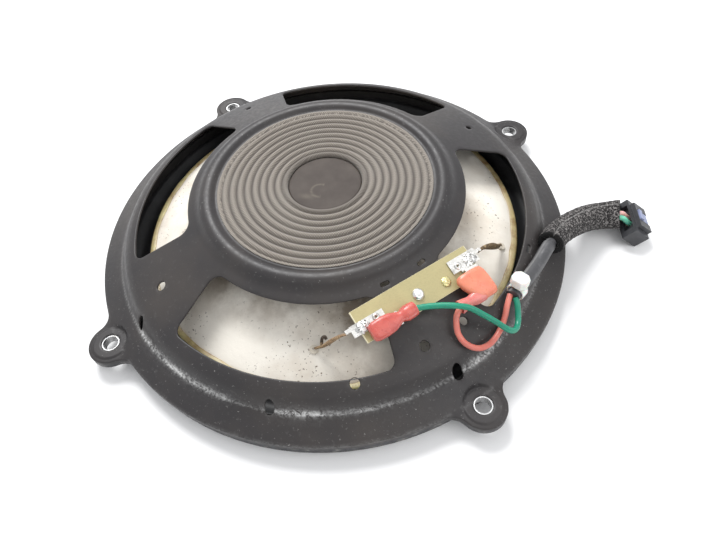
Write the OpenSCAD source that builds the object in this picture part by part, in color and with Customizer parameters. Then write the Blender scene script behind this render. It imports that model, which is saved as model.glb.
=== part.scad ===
// Shallow car door woofer, lying face down with its back up.
// Millimetres. The origin is on the surface it lies on, on the speaker's axis, +Z towards its back.
// The four mounting ears sit at 45, 135, 225 and 315 degrees; the terminal spoke is the one at 315.

/* [Flange] */
// Outer radius of the round flange
flange_r = 125; // [122:0.5:128]
// Height of the flange's lower edge above the resting face
flange_z = 9; // [8.5:0.1:10]
// Thickness of the basket's sheet steel
sheet_t = 1.2; // [1:0.1:1.3]
// Radius of the circle that the mounting holes are on
ear_pitch_r = 128.4; // [127.5:0.1:129]
// Radius of an ear's rounded end
ear_r = 11; // [10:0.1:11.5]
// Radius of the fillet between an ear and the flange
ear_fillet_r = 9; // [7:0.5:11]
// Radius of the hole in an ear
ear_hole_r = 4.35; // [4.3:0.05:4.6]
// Radius of the mounting bolt's passage through the steel bushing
bolt_hole_r = 3.75; // [3.2:0.05:3.9]

/* [Basket plate] */
// Radius of the scuffed crease at the foot of the shoulder
crease_r = 113.2; // [112.8:0.1:113.6]
// Outer radius of the four windows
window_out_r = 102.2; // [101:0.1:103]
// Inner radius of the four windows
window_in_r = 71.3; // [70.5:0.1:72.5]
// Half angle between a window's two straight sides
window_side_deg = 26.6; // [25:0.1:28]
// Distance behind the axis at which a window's straight sides would meet
window_apex = 16; // [14:0.5:17]
// Corner radius of a window at its outer edge
window_out_fillet = 5; // [3:0.5:6]
// Corner radius of a window at its inner edge
window_in_fillet = 6.5; // [4:0.5:7]

/* [Spider and diaphragm] */
// Outer radius of the corrugated spider
spider_r = 54.6; // [54:0.1:55]
// Number of corrugations in the spider
spider_waves = 8; // [6:1:9]
// Half height of a corrugation
spider_wave_h = 0.85; // [0.6:0.05:0.95]
// Outer radius of the paper cone
cone_r = 99.6; // [99:0.1:99.8]
// Height of the cone's outer edge
cone_edge_z = 12.5; // [12.4:0.05:12.7]
// Outer radius of the coil former
former_r = 18.6; // [18.5:0.05:18.7]

/* [Terminals] */
// Length of the terminal board
board_len = 63; // [60:0.5:64]
// Width of the terminal board
board_w = 15.6; // [14:0.1:16]
// Thickness of the terminal board
board_t = 1.6; // [1.2:0.1:1.6]
// Diameter of the insulated wires
wire_d = 2.7; // [2:0.1:2.7]

/* [Pigtail] */
// Diameter of the taped bundle
tape_d = 7; // [6:0.1:7]
// Diameter of the foam wrap
foam_d = 12.6; // [11:0.1:12.6]

/* [Hidden] */
$fn = 96;

// Running gaps: between loose parts on one body, and between parts that move apart.
fit_gap = 0.05;
motion_gap = 0.15;

ear_angles = [45, 135, 225, 315];
window_angles = [0, 90, 180, 270];
ear_top_z = flange_z + 2.2;
pad_top_z = flange_z + 2.8;
pad_r = 8.8;
pad_block_r = 10;
pad_inner_r = 119.4;
ear_inner_r = 123;
// The underside of the ears lies this far above the flange's, so that no two faces coincide.
ear_lift = 0.03;
// The fillets cut this far into the round they blend into, so that no surfaces just touch.
ear_fillet_bite = 0.15;

// Front ring, the piece that closes the front and carries the motor.
ring_in_r = 111.2;
ring_out_r = 124.3;
ring_z = 3;
lower_ear_z = 6.6;
arm_z = 1.6;
arm_t = 3.6;
arm_w = 16;
hub_r = 31;
gasket_in_r = 112;
screw_r = 2.45;

// Profile of the basket's upper skin as [radius, height], from the skirt to the spider's seat.
seat_z = 45.7;
seat_in_r = 53.3;
basket_skin = [
    [flange_r, flange_z], [flange_r, flange_z + 2], [flange_r - 0.7, flange_z + 2.8],
    [crease_r + 1.6, flange_z + 7.7], [crease_r, flange_z + 8.7], [crease_r - 1.2, flange_z + 10.3],
    [110.6, 31.2 - flange_z], [108.6, 25], [105.6, 27.1], [window_out_r, 28.6],
    [window_in_r, 41.2], [67, 43], [65.2, 44.4], [63.6, 46.5], [61.6, 47.6], [59.4, 47.8],
    [57.8, 47.3], [56.8, 46.4], [56.6, seat_z], [seat_in_r, seat_z]
];

// The spoke's plane: the plate is a cone, and the board lies flat along it.
spoke_r = 79;
plate_slope = (41.2 - 28.6) / (window_out_r - window_in_r);
plate_deg = atan(plate_slope);
spoke_z = 28.6 + (window_out_r - spoke_r) * plate_slope;

// Small holes in the plate: [angle, radius from the axis, hole radius].
plate_holes = [
    [45, 94.4, 1.6], [135, 94.4, 1.6], [225, 94.2, 2.2], [309.3, 98.5, 2.3], [322, 98.5, 1.8],
    [290, 104.3, 2.2], [270, 112.2, 2.2], [228, 111, 2.2], [314, 112.5, 2.5]
];
// Lanced slots: [angle, radius from the axis, length along the circle, width].
plate_slots = [[306.8, 68.6, 4.4, 1.6], [323.8, 68.6, 4.4, 1.6], [353, 105.2, 5, 1.6]];

// Routes of the leads, every point chosen by hand.
green_route = [
    [51.3, -69.5, 41.2], [54.7, -66.1, 41.2], [58.7, -63.9, 41.2], [63.2, -62.4, 41.2],
    [68.7, -61.3, 41.4], [74.3, -60.7, 41.5], [79.5, -60.3, 40.6], [86.3, -60.5, 36.5],
    [91.8, -60.9, 33], [96.2, -61.1, 29.5], [99.2, -60.2, 26.8], [101.2, -57.6, 25.2],
    [101.7, -53.9, 25], [101.3, -50.6, 26.6], [100.4, -47.6, 29.4], [99.3, -45.1, 31]
];
red_route = [
    [79.3, -55.1, 37.2], [75.7, -58.7, 37.2], [74.3, -62.3, 36.2], [74.7, -65.9, 34.4],
    [76, -69.1, 32.2], [78.8, -71.4, 30], [82.5, -72, 27.8], [86.5, -70.6, 25.6],
    [90.3, -66.9, 23.9], [93.1, -62, 23.9], [94.8, -57.2, 25.1], [95.7, -52.8, 27],
    [96, -48.8, 29.6], [96.75, -43.9, 31]
];
tape_route = [
    [98, -44.5, 31], [100.2, -40.1, 30.9], [103.2, -34.6, 30.4], [106.2, -28.3, 29.5],
    [109.3, -21, 28.2], [112, -14, 28.2], [114.5, -7.8, 27.4]
];
foam_route = [
    [114.5, -7.8, 27.4], [117.4, -0.6, 24.8], [120.3, 5, 22.2], [123.7, 10, 20.4],
    [127.4, 14.8, 18.4], [131.4, 20, 15.5], [135.8, 25, 12.6], [140.4, 28.8, 10.3],
    [145, 30.6, 9.8], [149.4, 31.2, 10.6], [153, 31, 11.8]
];
tinsel_left_route = [
    [29.4, -82, 40.2], [26.6, -82.4, 38.6], [22.4, -82.4, 33.4], [17.6, -82, 26.4], [12.8, -81.2, 21.2]
];
tinsel_right_route = [
    [80, -29.6, 41], [82.2, -25.6, 39.6], [86.2, -18, 32], [89.4, -10.6, 23.4], [91.4, -4.8, 18]
];
tinsel_d = 1.6;

// Connector: local X is the direction it plugs in, and it leans on the end that plugs in.
connector_deg = 10;
connector_tilt = 40;
connector_len = 11;
connector_w = 22;
connector_h = 11;
connector_at = [153, 29, connector_len * sin(connector_tilt)];

function unit(v) = v / norm(v);
function left(v) = [-v[1], v[0]];
function step_after(p, i) = unit(p[min(i + 1, len(p) - 1)] - p[min(i, len(p) - 2)]);
function step_before(p, i) = unit(p[max(i, 1)] - p[max(i - 1, 0)]);
function miter(p, i) = let (n = unit(left(step_before(p, i)) + left(step_after(p, i))))
    n / (n * left(step_after(p, i)));
// A path thickened towards its left side, as one closed outline.
function sheet(p, t) = concat(p, [for (i = [len(p) - 1:-1:0]) p[i] + t * miter(p, i)]);
function polar(r, a) = [r * cos(a), r * sin(a)];
// Centre of the concave fillet between an ear and a round of radius base_r.
function ear_fillet_centre(base_r) = let (
        reach = base_r + ear_fillet_r - ear_fillet_bite,
        cosine = (reach * reach + pow(ear_pitch_r, 2) - pow(ear_r + ear_fillet_r, 2)) / (2 * reach * ear_pitch_r)
    ) polar(reach, acos(cosine));
// The cone's back surface, a straight taper with a slight crown.
function cone_z(r) = let (t = (cone_r - r) / (cone_r - former_r))
    cone_edge_z + 27.9 * t + 1.2 * sin(180 * t);
function tangent(p, i) = unit(p[min(i + 1, len(p) - 1)] - p[max(i - 1, 0)]);

module solid_ring(r_in, r_out, z0, z1) {
    difference() {
        translate([0, 0, z0]) cylinder(r = r_out, h = z1 - z0);
        translate([0, 0, z0 - 1]) cylinder(r = r_in, h = z1 - z0 + 2);
    }
}

// A round cable swept along a route, one ring of points at each of the route's points.
module cable(route, d, sides = 8) {
    last = len(route) - 1;
    points = [
        for (i = [0:last])
            let (t = tangent(route, i), s = unit(cross(t, [0, 0, 1])), u = cross(s, t))
            for (k = [0:sides - 1])
                let (a = 360 * k / sides) route[i] + d / 2 * (cos(a) * s + sin(a) * u)
    ];
    walls = [
        for (i = [0:last - 1]) for (k = [0:sides - 1])
            let (a = i * sides + k, b = i * sides + (k + 1) % sides)
            each [[a, b, b + sides], [a, b + sides, a + sides]]
    ];
    start_cap = [for (k = [sides - 1:-1:0]) k];
    end_cap = [for (k = [0:sides - 1]) last * sides + k];
    polyhedron(points = points, faces = concat(walls, [start_cap, end_cap]), convexity = 6);
}

// Moves a piece onto the terminal spoke: X down the slope, Y along the board, Z off the plate.
module on_spoke() {
    rotate([0, 0, 315]) translate([spoke_r, 0, spoke_z]) rotate([0, plate_deg, 0]) children();
}

module at_ears() {
    for (a = ear_angles) rotate([0, 0, a]) children();
}

// Outline of one ear on the X axis with its two concave fillets, from inner_r out of a round of base_r.
module ear_outline(inner_r, base_r) {
    f = ear_fillet_centre(base_r);
    difference() {
        union() {
            translate([ear_pitch_r, 0]) circle(r = ear_r);
            polygon([[inner_r - 4, -f[1]], [f[0], -f[1]], [ear_pitch_r, 0], [f[0], f[1]], [inner_r - 4, f[1]]]);
        }
        for (side = [-1, 1]) translate([f[0], side * f[1]]) circle(r = ear_fillet_r);
        circle(r = inner_r);
    }
}

module wedge(shrink) {
    reach = 130;
    apex = -window_apex + shrink / sin(window_side_deg);
    half = (reach - apex) * tan(window_side_deg);
    polygon([[apex, 0], [reach, -half], [reach, half]]);
}

// Centre of a corner circle that touches the arc of radius r and a straight side.
function corner(r, fillet) = let (
        base = -window_apex + fillet / sin(window_side_deg),
        a = window_side_deg,
        b = base * cos(a),
        s = -b + sqrt(b * b - base * base + r * r)
    ) [base + s * cos(a), s * sin(a)];

module window_outline() {
    intersection() {
        difference() {
            circle(r = window_out_r);
            circle(r = window_in_r);
        }
        wedge(window_in_fillet);
    }
    intersection() {
        difference() {
            circle(r = window_out_r - window_out_fillet);
            circle(r = window_in_r + window_in_fillet);
        }
        wedge(0);
    }
    outer = corner(window_out_r - window_out_fillet, window_out_fillet);
    inner = corner(window_in_r + window_in_fillet, window_in_fillet);
    for (side = [-1, 1]) {
        translate([outer[0], side * outer[1]]) circle(r = window_out_fillet);
        translate([inner[0], side * inner[1]]) circle(r = window_in_fillet);
    }
}

module basket() {
    color("#34343a") {
        difference() {
            rotate_extrude() polygon(sheet(basket_skin, sheet_t));
            for (a = window_angles) rotate([0, 0, a]) translate([0, 0, 20]) linear_extrude(30) window_outline();
            for (h = plate_holes) rotate([0, 0, h[0]]) translate([h[1], 0, 12]) cylinder(r = h[2], h = 40);
            for (s = plate_slots) rotate([0, 0, s[0]]) translate([s[1], 0, 30])
                cube([s[3], s[2], 40], center = true);
            on_spoke() translate([0, 0, -5]) cylinder(r = 1.6, h = 10);
            at_ears() translate([ear_pitch_r, 0, flange_z - 1]) cylinder(r = pad_r + 0.3, h = 20);
        }
        difference() {
            at_ears() {
                translate([0, 0, flange_z + ear_lift]) linear_extrude(ear_top_z - flange_z - ear_lift)
                    ear_outline(ear_inner_r, flange_r);
                ear_pad();
            }
            ear_bores();
        }
    }
}

// The ears' holes, each with the round recess that lets a bolt's head down to the pad.
module ear_bores() {
    at_ears() translate([ear_pitch_r, 0, 0]) {
        translate([0, 0, 5]) cylinder(r = ear_hole_r, h = 25);
        translate([0, 0, pad_top_z]) cylinder(r = pad_r + 0.3, h = 10);
    }
}

// The raised round pad of an ear, and the metal that fairs it into the sloping flange.
module ear_pad() {
    drop = sheet_t / 2;
    slope = 4.9 / (flange_r - 2.3 - crease_r);
    outer_r = flange_r - drop;
    base_z = flange_z + ear_lift;
    translate([ear_pitch_r, 0, base_z]) cylinder(r = pad_r, h = pad_top_z - base_z);
    intersection() {
        translate([ear_pitch_r, 0, flange_z]) cylinder(r = pad_block_r, h = 12);
        rotate_extrude() polygon([
            [pad_inner_r, base_z], [outer_r, base_z], [outer_r, flange_z + 2.8 - 2 * drop],
            [pad_inner_r, flange_z + 2.8 - 2 * drop + (outer_r - pad_inner_r) * slope]
        ]);
    }
}

// Steel bushings pressed through both layers of each ear.
module ear_bushings() {
    color("#b9bbbd") at_ears() translate([ear_pitch_r, 0, 0])
        solid_ring(bolt_hole_r, ear_hole_r - fit_gap, lower_ear_z, pad_top_z - 0.6);
}

// One-piece front frame: clamping ring, four lower ears, four arms and the motor's hub.
module front_bridge() {
    color("#26262a") difference() {
        union() {
            solid_ring(ring_in_r, ring_out_r, ring_z, flange_z);
            at_ears() {
                translate([0, 0, lower_ear_z]) linear_extrude(flange_z - lower_ear_z)
                    ear_outline(ring_out_r - 1, ring_out_r);
                translate([hub_r - 4, -arm_w / 2, arm_z]) cube([ring_in_r - hub_r + 6, arm_w, arm_t]);
            }
            translate([0, 0, arm_z]) cylinder(r = hub_r, h = arm_t);
        }
        solid_ring(gasket_in_r - 0.3, ring_out_r + 2, -1, ring_z);
        at_ears() translate([ear_pitch_r, 0, 0]) cylinder(r = ear_hole_r, h = 20);
        cylinder(r = screw_r + fit_gap, h = 10);
    }
}

// Soft ring that seals the speaker to the door, on the face it rests on.
module front_gasket() {
    color("#1b1b1d") solid_ring(gasket_in_r, ring_out_r - 1.4, 0, ring_z);
}

// Packing ring that fills the flange and clamps the surround's rim.
module rim_spacer() {
    color("#8a7a64") rotate_extrude() polygon([
        [crease_r, flange_z + 1.05], [pad_inner_r - 0.1, flange_z + 1.05],
        [pad_inner_r - 0.1, flange_z + 3.6], [crease_r + 1.6, flange_z + 6], [crease_r, flange_z + 6]
    ]);
}

// Rubber surround: a flat rim, one half roll and an inner lip under the cone's edge.
module surround() {
    roll_out = 111;
    roll_in = 101;
    roll_depth = 3;
    steps = 12;
    lip_r = 96.8;
    top = concat(
        [[pad_inner_r - 0.1, flange_z + 1], [roll_out + 0.6, flange_z + 1]],
        [for (i = [0:steps]) let (u = i / steps)
            [roll_out + (roll_in - roll_out) * u, flange_z + 1 + 0.9 * u - roll_depth * sin(180 * u)]],
        [[99.8, cone_z(99.6) - 1.15], [lip_r, cone_z(lip_r) - 1.15]]
    );
    color("#1d1d1f") rotate_extrude() polygon(sheet(top, 0.9));
}

module cone() {
    steps = 8;
    neck_r = former_r + 0.4;
    back = [for (i = [0:steps]) let (r = cone_r + (neck_r - cone_r) * i / steps) [r, cone_z(r)]];
    color("#e9e2d2") rotate_extrude() polygon(sheet(back, 0.9));
}

// Bead of adhesive round the cone's outer edge.
module edge_glue() {
    color("#c9a54c") rotate_extrude() polygon([
        [cone_r - 1.4, cone_z(cone_r - 1.4) + 0.02], [cone_r - 0.8, cone_z(cone_r - 0.8) + 0.7],
        [cone_r, cone_edge_z + 0.7], [cone_r + 0.6, cone_edge_z + 0.1], [cone_r + 0.6, cone_edge_z - 0.8],
        [cone_r + 0.35, cone_edge_z - 0.8], [cone_r + 0.02, cone_edge_z + 0.02]
    ]);
}

// Corrugated cloth centring disc, from its flat rim to the neck on the former.
module spider() {
    cloth_t = 0.5;
    rim_in_r = 52.6;
    neck_r = 22;
    per_wave = 8;
    steps = spider_waves * per_wave;
    top_z = seat_z + cloth_t;
    top = concat(
        [[spider_r, top_z], [rim_in_r + 0.4, top_z]],
        [for (i = [0:steps]) [rim_in_r + (neck_r - rim_in_r) * i / steps,
            top_z - 0.3 - spider_wave_h * sin(360 * i / per_wave)]],
        [[21.2, top_z + 0.2], [20.4, top_z + 0.3], [19.6, top_z], [19.1, top_z - 0.7],
            [former_r + motion_gap, top_z - 1.6]]
    );
    color("#9b9184") rotate_extrude() polygon(sheet(top, cloth_t));
}

cap_z = 43.9;

module coil_former() {
    color("#c8b48a") solid_ring(former_r - 0.4, former_r, 15.5, cap_z);
}

module voice_coil() {
    color("#b5651d") solid_ring(former_r, former_r + 0.9, 16, 28);
}

// Flat disc that closes the former behind the neck of the cone.
module neck_cap() {
    color("#6b645d") translate([0, 0, cap_z]) cylinder(r = former_r, h = 0.6);
}

module yoke_cup() {
    floor_z = arm_z + arm_t;
    color("#8d9093") difference() {
        translate([0, 0, floor_z]) cylinder(r = 25.5, h = 21.3);
        translate([0, 0, floor_z + 3.3]) cylinder(r = former_r + 2.2, h = 30);
        cylinder(r = screw_r + fit_gap, h = 20);
    }
}

module magnet() {
    color("#777a7e") solid_ring(screw_r + fit_gap, former_r - 2.5, arm_z + arm_t + 3.3, 19.6);
}

module pole_plate() {
    color("#9a9da0") solid_ring(screw_r + fit_gap, former_r - 1.1, 19.6, 25.6);
}

// Screw through hub, cup, magnet and pole plate.
module motor_screw() {
    color("#c0c2c4") {
        translate([0, 0, arm_z - 1.2]) cylinder(r = 4.6, h = 1.2);
        translate([0, 0, arm_z - 0.1]) cylinder(r = screw_r, h = 25);
    }
}

// Eyelets where the tinsel leads pass through the cone.
module lead_eyelets() {
    tilt = 20;
    color("#a8884a") for (e = [[278.5, 81.9], [357.3, 91.7]]) rotate([0, 0, e[0]])
        translate([e[1], 0, cone_z(e[1])]) rotate([0, tilt, 0]) translate([0, 0, 0.12])
            solid_ring(0.8, 2.1, 0, 0.7);
}

module terminal_board() {
    color("#b6ab6c") on_spoke() difference() {
        translate([-board_w / 2 - 0.8, -board_len / 2 + 0.3, fit_gap]) cube([board_w, board_len, board_t]);
        translate([0, 0, -1]) cylinder(r = 1.6, h = 5);
        for (p = [lug_rivet_left, lug_rivet_right, blob_at])
            translate([p[0], p[1], -1]) cylinder(r = 1.25, h = 5);
    }
}
lug_rivet_left = [-0.9, -22.1];
lug_rivet_right = [-1.8, 23.1];
blob_at = [1.6, 14.4];
lug_z = board_t + 2 * fit_gap;
lug_t = 0.8;

// Half-round rivet head profile with its flat side at height z.
module rivet_head(r, h, z) {
    steps = 6;
    translate([0, 0, z]) rotate_extrude() polygon(concat([[0, 0]],
        [for (i = [0:steps]) let (a = 90 * i / steps) [r * cos(a), h * sin(a)]]));
}

module board_rivet() {
    color("#d5d6d6") on_spoke() {
        rivet_head(2.9, 1.5, lug_z - fit_gap);
        translate([0, 0, -2]) cylinder(r = 1.5, h = 4);
        translate([0, 0, -2.6]) cylinder(r = 2.6, h = 1.2);
    }
}

// Small rivets: one through each lug and a third that closes the board's spare hole.
module lug_rivets() {
    color("#cbbf7d") on_spoke() {
        for (p = [lug_rivet_left, lug_rivet_right]) translate([p[0], p[1], 0]) {
            solid_ring(0.6, 1.7, lug_z + lug_t + fit_gap, lug_z + lug_t + 0.45);
            solid_ring(0.6, 1.15, -0.6, lug_z + lug_t + 0.4);
            solid_ring(0.6, 1.9, -0.8, -0.2);
        }
        translate([blob_at[0], blob_at[1], 0]) {
            rivet_head(2.3, 0.9, lug_z);
            translate([0, 0, -0.3]) cylinder(r = 1.15, h = 2);
        }
    }
}

// Solder lug with a push-on blade. The strip lies on the board; the blade stands off it.
module lug_left() {
    color("#cfcfc9") on_spoke() difference() {
        union() {
            translate([-3, -35, lug_z]) cube([5.4, 17, lug_t]);
            translate([2.2, -28, lug_z]) cube([4.6, 5, lug_t]);
            translate([2.2, -28, lug_z]) cube([5.2, lug_t, 4]);
            translate([1.6, -28, lug_z + 3.2]) cube([6.3, 14, lug_t]);
            translate([-2.6, -37.4, lug_z]) cube([1.8, 3, lug_t]);
        }
        translate([lug_rivet_left[0], lug_rivet_left[1], 0]) cylinder(r = 1.2, h = 4);
    }
}

module lug_right() {
    color("#cfcfc9") on_spoke() difference() {
        union() {
            translate([-5.6, 19.3, lug_z]) cube([6.4, 15, lug_t]);
            translate([0.4, 23.4, lug_z]) cube([2.2, 6.3, lug_t]);
            translate([1.8, 23.4, lug_z]) cube([lug_t, 6.3, 4]);
            translate([1.8, 23.4, lug_z + 3.2]) cube([10, 6.3, lug_t]);
            translate([-4.2, 34, lug_z]) cube([1.8, 3.4, lug_t]);
        }
        translate([lug_rivet_right[0], lug_rivet_right[1], 0]) cylinder(r = 1.2, h = 4);
    }
}

// Solder that fills each lug round the end of its tinsel lead.
module solder_joints() {
    color("#dcdcda") on_spoke() for (p = [[-0.2, -29.6], [-1.9, 29.6]])
        translate([p[0], p[1], 0]) rivet_head(2.5, 1.3, lug_z + lug_t);
}

module tinsel_lead_left() {
    color("#8a6a3e") cable(tinsel_left_route, tinsel_d);
}

module tinsel_lead_right() {
    color("#6e5433") cable(tinsel_right_route, tinsel_d);
}

blade_z = lug_z + 3.2;

// Female push-on terminal that grips a blade lying along Y, wire barrel towards +Y.
module receptacle(length, barrel_len) {
    difference() {
        translate([-3.6, 0, -1]) cube([7.2, length, 2.8]);
        translate([-3.25, -1, -0.1]) cube([6.5, length, 1]);
    }
    translate([0, length - 0.5, 0.4]) rotate([-90, 0, 0]) difference() {
        cylinder(r = 1.9, h = barrel_len);
        translate([0, 0, 0.6]) cylinder(r = wire_d / 2 + fit_gap, h = barrel_len);
    }
}

module receptacle_left() {
    color("#d9c48a") on_spoke() translate([4.75, -26.6, blade_z]) receptacle(13.4, 6.5);
}

module receptacle_right() {
    color("#d9c48a") on_spoke() translate([5, 26.55, blade_z]) difference() {
        union() {
            translate([0, -3.6, -1]) cube([9, 7.2, 2.8]);
            translate([10.2, 3.6, 0.4]) rotate([90, 0, 0]) cylinder(r = 1.9, h = 15);
        }
        translate([-1, -3.2, -0.1]) cube([8, 6.4, 1]);
        translate([10.2, -3, 0.4]) rotate([90, 0, 0]) cylinder(r = wire_d / 2 + fit_gap, h = 16);
    }
}

// Vinyl sleeve of the straight terminal, open at the blade end and belled at the wire end.
module insulator_left() {
    color("#c8463e") on_spoke() translate([4.75, -26.4, blade_z + 0.4]) difference() {
        union() {
            hull() for (x = [-3, 3]) translate([x, 0, 0]) rotate([-90, 0, 0]) cylinder(r = 2.3, h = 12, $fn = 32);
            translate([0, 11, 0]) rotate([-90, 0, 0]) cylinder(r = 2.9, h = 9.5);
        }
        translate([-3.7, -1, -1.5]) cube([7.4, 14.5, 3.1]);
        rotate([-90, 0, 0]) cylinder(r = 2, h = 30);
    }
}

// Moulded cover of the flag terminal: the wire leaves at right angles to the blade.
module insulator_right() {
    color("#dd7a5e") on_spoke() translate([5, 26.55, blade_z + 0.4]) difference() {
        union() {
            hull() for (x = [0, 10]) for (y = [-4, 4]) translate([x, y, -2.2])
                cylinder(r = 1.6, h = 4.6, $fn = 32);
            translate([10.2, -4, 0]) rotate([90, 0, 0]) cylinder(r = 3, h = 11);
        }
        translate([-3, -3.7, -1.5]) cube([12.1, 7.4, 3.1]);
        translate([10.2, 3.7, 0]) rotate([90, 0, 0]) cylinder(r = 2, h = 20);
    }
}

module green_wire() {
    color("#2f9f7c") cable(green_route, wire_d);
}

module red_wire() {
    color("#cf6a5e") cable(red_route, wire_d);
}

// Turns a piece so that its Z follows the taped bundle where the tie holds it.
module on_bundle() {
    along = unit(tape_route[2] - tape_route[1]);
    translate((tape_route[1] + tape_route[2]) / 2 - along * 4)
        rotate([0, acos(along[2]), atan2(along[1], along[0])]) children();
}

// Nylon tie round the bundle: its strap and its head.
module tie_strap() {
    // The strap stands a little clear of the gentle bend in the tape.
    color("#e8e8e6") on_bundle() solid_ring(tape_d / 2 + 0.25, tape_d / 2 + 0.8, -2.2, 2.2);
}

module tie_head() {
    color("#f2f2f0") on_bundle() difference() {
        translate([-9.3, -4, -3.6]) cube([5, 8, 7.2]);
        translate([0, 0, -5]) cylinder(r = tape_d / 2 + 0.85, h = 10);
    }
}

module tape_sleeve() {
    color("#3b3b40") cable(tape_route, tape_d, 12);
}

module foam_wrap() {
    color("#2a2a2b") cable(foam_route, foam_d, 12);
}

module on_connector() {
    translate(connector_at) rotate([0, connector_tilt, connector_deg]) children();
}

contact_y = 4.2;
contact_z = 4.6;
shroud_wall = 1.6;

module pigtail_wire(side) {
    on_connector() translate([-0.4, side * contact_y / 2, contact_z]) rotate([0, 90, 0])
        cylinder(r = wire_d / 2 - 0.05, h = 4.25);
}

module pigtail_wire_red() {
    color("#e7a9a6") pigtail_wire(1);
}

module pigtail_wire_green() {
    color("#7fd3b4") pigtail_wire(-1);
}

module connector_housing() {
    half = connector_w / 2;
    body_h = connector_h - 2.4;
    color("#3a3b3f") on_connector() difference() {
        union() {
            translate([0, -half, 0]) cube([connector_len, connector_w, body_h]);
            translate([1.5, -half + 3, 0]) cube([connector_len - 1.5, connector_w - 6, connector_h]);
            for (z = [1, 6.9]) translate([connector_len - 2.6, half - 0.5, z]) cube([2.6, 2, 1.4]);
        }
        translate([-1, -half + 3.5, 2]) cube([3.5, connector_w - 7, 5.4]);
        translate([6.5, -half + shroud_wall, shroud_wall])
            cube([12, connector_w - 2 * shroud_wall, body_h - 2 * shroud_wall]);
        for (side = [-1, 1]) translate([2, side * contact_y / 2, contact_z]) rotate([0, 90, 0])
            cylinder(r = 1.9, h = 8);
        translate([2.2, -3.6, connector_h - 2.1]) cube([20, 7.2, 3]);
        translate([5.9, half - 1.7, 3.9]) cube([4.4, 3, 1.7]);
    }
}

// Pin contacts: a crimped shank in each cavity and a blade standing in the mating shroud.
module connector_contacts() {
    color("#c9b37a") on_connector() for (side = [-1, 1]) translate([3.9, side * contact_y / 2, contact_z]) {
        rotate([0, 90, 0]) cylinder(r = 1.85, h = 2.6);
        translate([2.5, -0.4, -1.2]) cube([3.8, 0.8, 2.4]);
    }
}

// Sprung latch arm in its channel on top of the housing, with a thumb pad at the wire end.
module connector_latch() {
    color("#6f6f95") on_connector() {
        translate([2.6, -3.2, connector_h - 1.2]) cube([7.6, 6.4, 1.1]);
        translate([2.6, -3.2, connector_h - 0.2]) cube([2.4, 6.4, 1.1]);
    }
}

// Side lock that keeps the contacts in, slid out by a fingernail.
module connector_lock() {
    half = connector_w / 2;
    color("#8b8c90") on_connector() {
        translate([6.1, half - 1.4, 4.1]) cube([4, 1.9, 1.3]);
        translate([5.6, half + 0.2, 3.5]) cube([5, 1, 2.5]);
    }
}

basket();
ear_bushings();
front_bridge();
front_gasket();
rim_spacer();
surround();
cone();
edge_glue();
spider();
coil_former();
voice_coil();
neck_cap();
yoke_cup();
magnet();
pole_plate();
motor_screw();
lead_eyelets();
terminal_board();
board_rivet();
lug_rivets();
lug_left();
lug_right();
solder_joints();
tinsel_lead_left();
tinsel_lead_right();
receptacle_left();
insulator_left();
receptacle_right();
insulator_right();
green_wire();
red_wire();
tie_strap();
tie_head();
tape_sleeve();
foam_wrap();
pigtail_wire_red();
pigtail_wire_green();
connector_housing();
connector_contacts();
connector_latch();
connector_lock();
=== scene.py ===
"""Looks of a shallow car door woofer lying face down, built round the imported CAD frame."""
from math import acos, atan, atan2, copysign, cos, degrees, exp, hypot, pi, radians, sin, sqrt

import bmesh
import bpy
import numpy as np
from mathutils import Matrix, Vector, noise
from mathutils.geometry import delaunay_2d_cdt
from mathutils.kdtree import KDTree


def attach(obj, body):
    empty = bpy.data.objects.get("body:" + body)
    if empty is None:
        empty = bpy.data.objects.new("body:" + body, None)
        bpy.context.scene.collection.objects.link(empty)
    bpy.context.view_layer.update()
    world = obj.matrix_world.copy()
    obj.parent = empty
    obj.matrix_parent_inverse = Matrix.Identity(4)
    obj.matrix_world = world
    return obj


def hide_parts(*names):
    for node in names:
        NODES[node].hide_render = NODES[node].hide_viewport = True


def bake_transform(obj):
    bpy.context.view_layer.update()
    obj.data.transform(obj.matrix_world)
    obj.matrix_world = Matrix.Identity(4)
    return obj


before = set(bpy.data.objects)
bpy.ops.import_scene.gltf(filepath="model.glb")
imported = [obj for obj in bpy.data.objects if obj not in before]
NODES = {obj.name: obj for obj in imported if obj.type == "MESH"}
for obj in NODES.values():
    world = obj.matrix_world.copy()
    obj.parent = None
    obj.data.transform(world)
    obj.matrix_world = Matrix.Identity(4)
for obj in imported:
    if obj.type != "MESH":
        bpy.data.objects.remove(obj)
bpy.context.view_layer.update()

SCENE = bpy.context.scene
MM = 0.001
TURN = 2 * pi


def mm(points):
    """A list of points given in millimetres, in metres."""
    return [Vector(p) * MM for p in points]


# ---- camera, light and floor

CAMERA_AT = Vector((0.07496, -0.19837, 0.25468))
CAMERA_RIGHT = Vector((0.97656, 0.20551, -0.06405))
CAMERA_UP = Vector((-0.12959, 0.79885, 0.58740))
CAMERA_FORWARD = Vector((-0.17189, 0.56533, -0.80676))
LENS_MM, SENSOR_MM = 28.885, 36.0
CAMERA_SHIFT = (-0.0019, -0.0003)


def add_object(name, data):
    made = bpy.data.objects.new(name, data)
    SCENE.collection.objects.link(made)
    return made


def make_camera():
    data = bpy.data.cameras.new("camera")
    data.sensor_width, data.lens = SENSOR_MM, LENS_MM
    data.shift_x, data.shift_y = CAMERA_SHIFT
    data.clip_start, data.clip_end = 0.01, 20
    camera = add_object("camera", data)
    axes = Matrix((CAMERA_RIGHT, CAMERA_UP, -CAMERA_FORWARD)).transposed()
    camera.matrix_world = Matrix.Translation(CAMERA_AT) @ axes.to_4x4()
    SCENE.camera = camera


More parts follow.
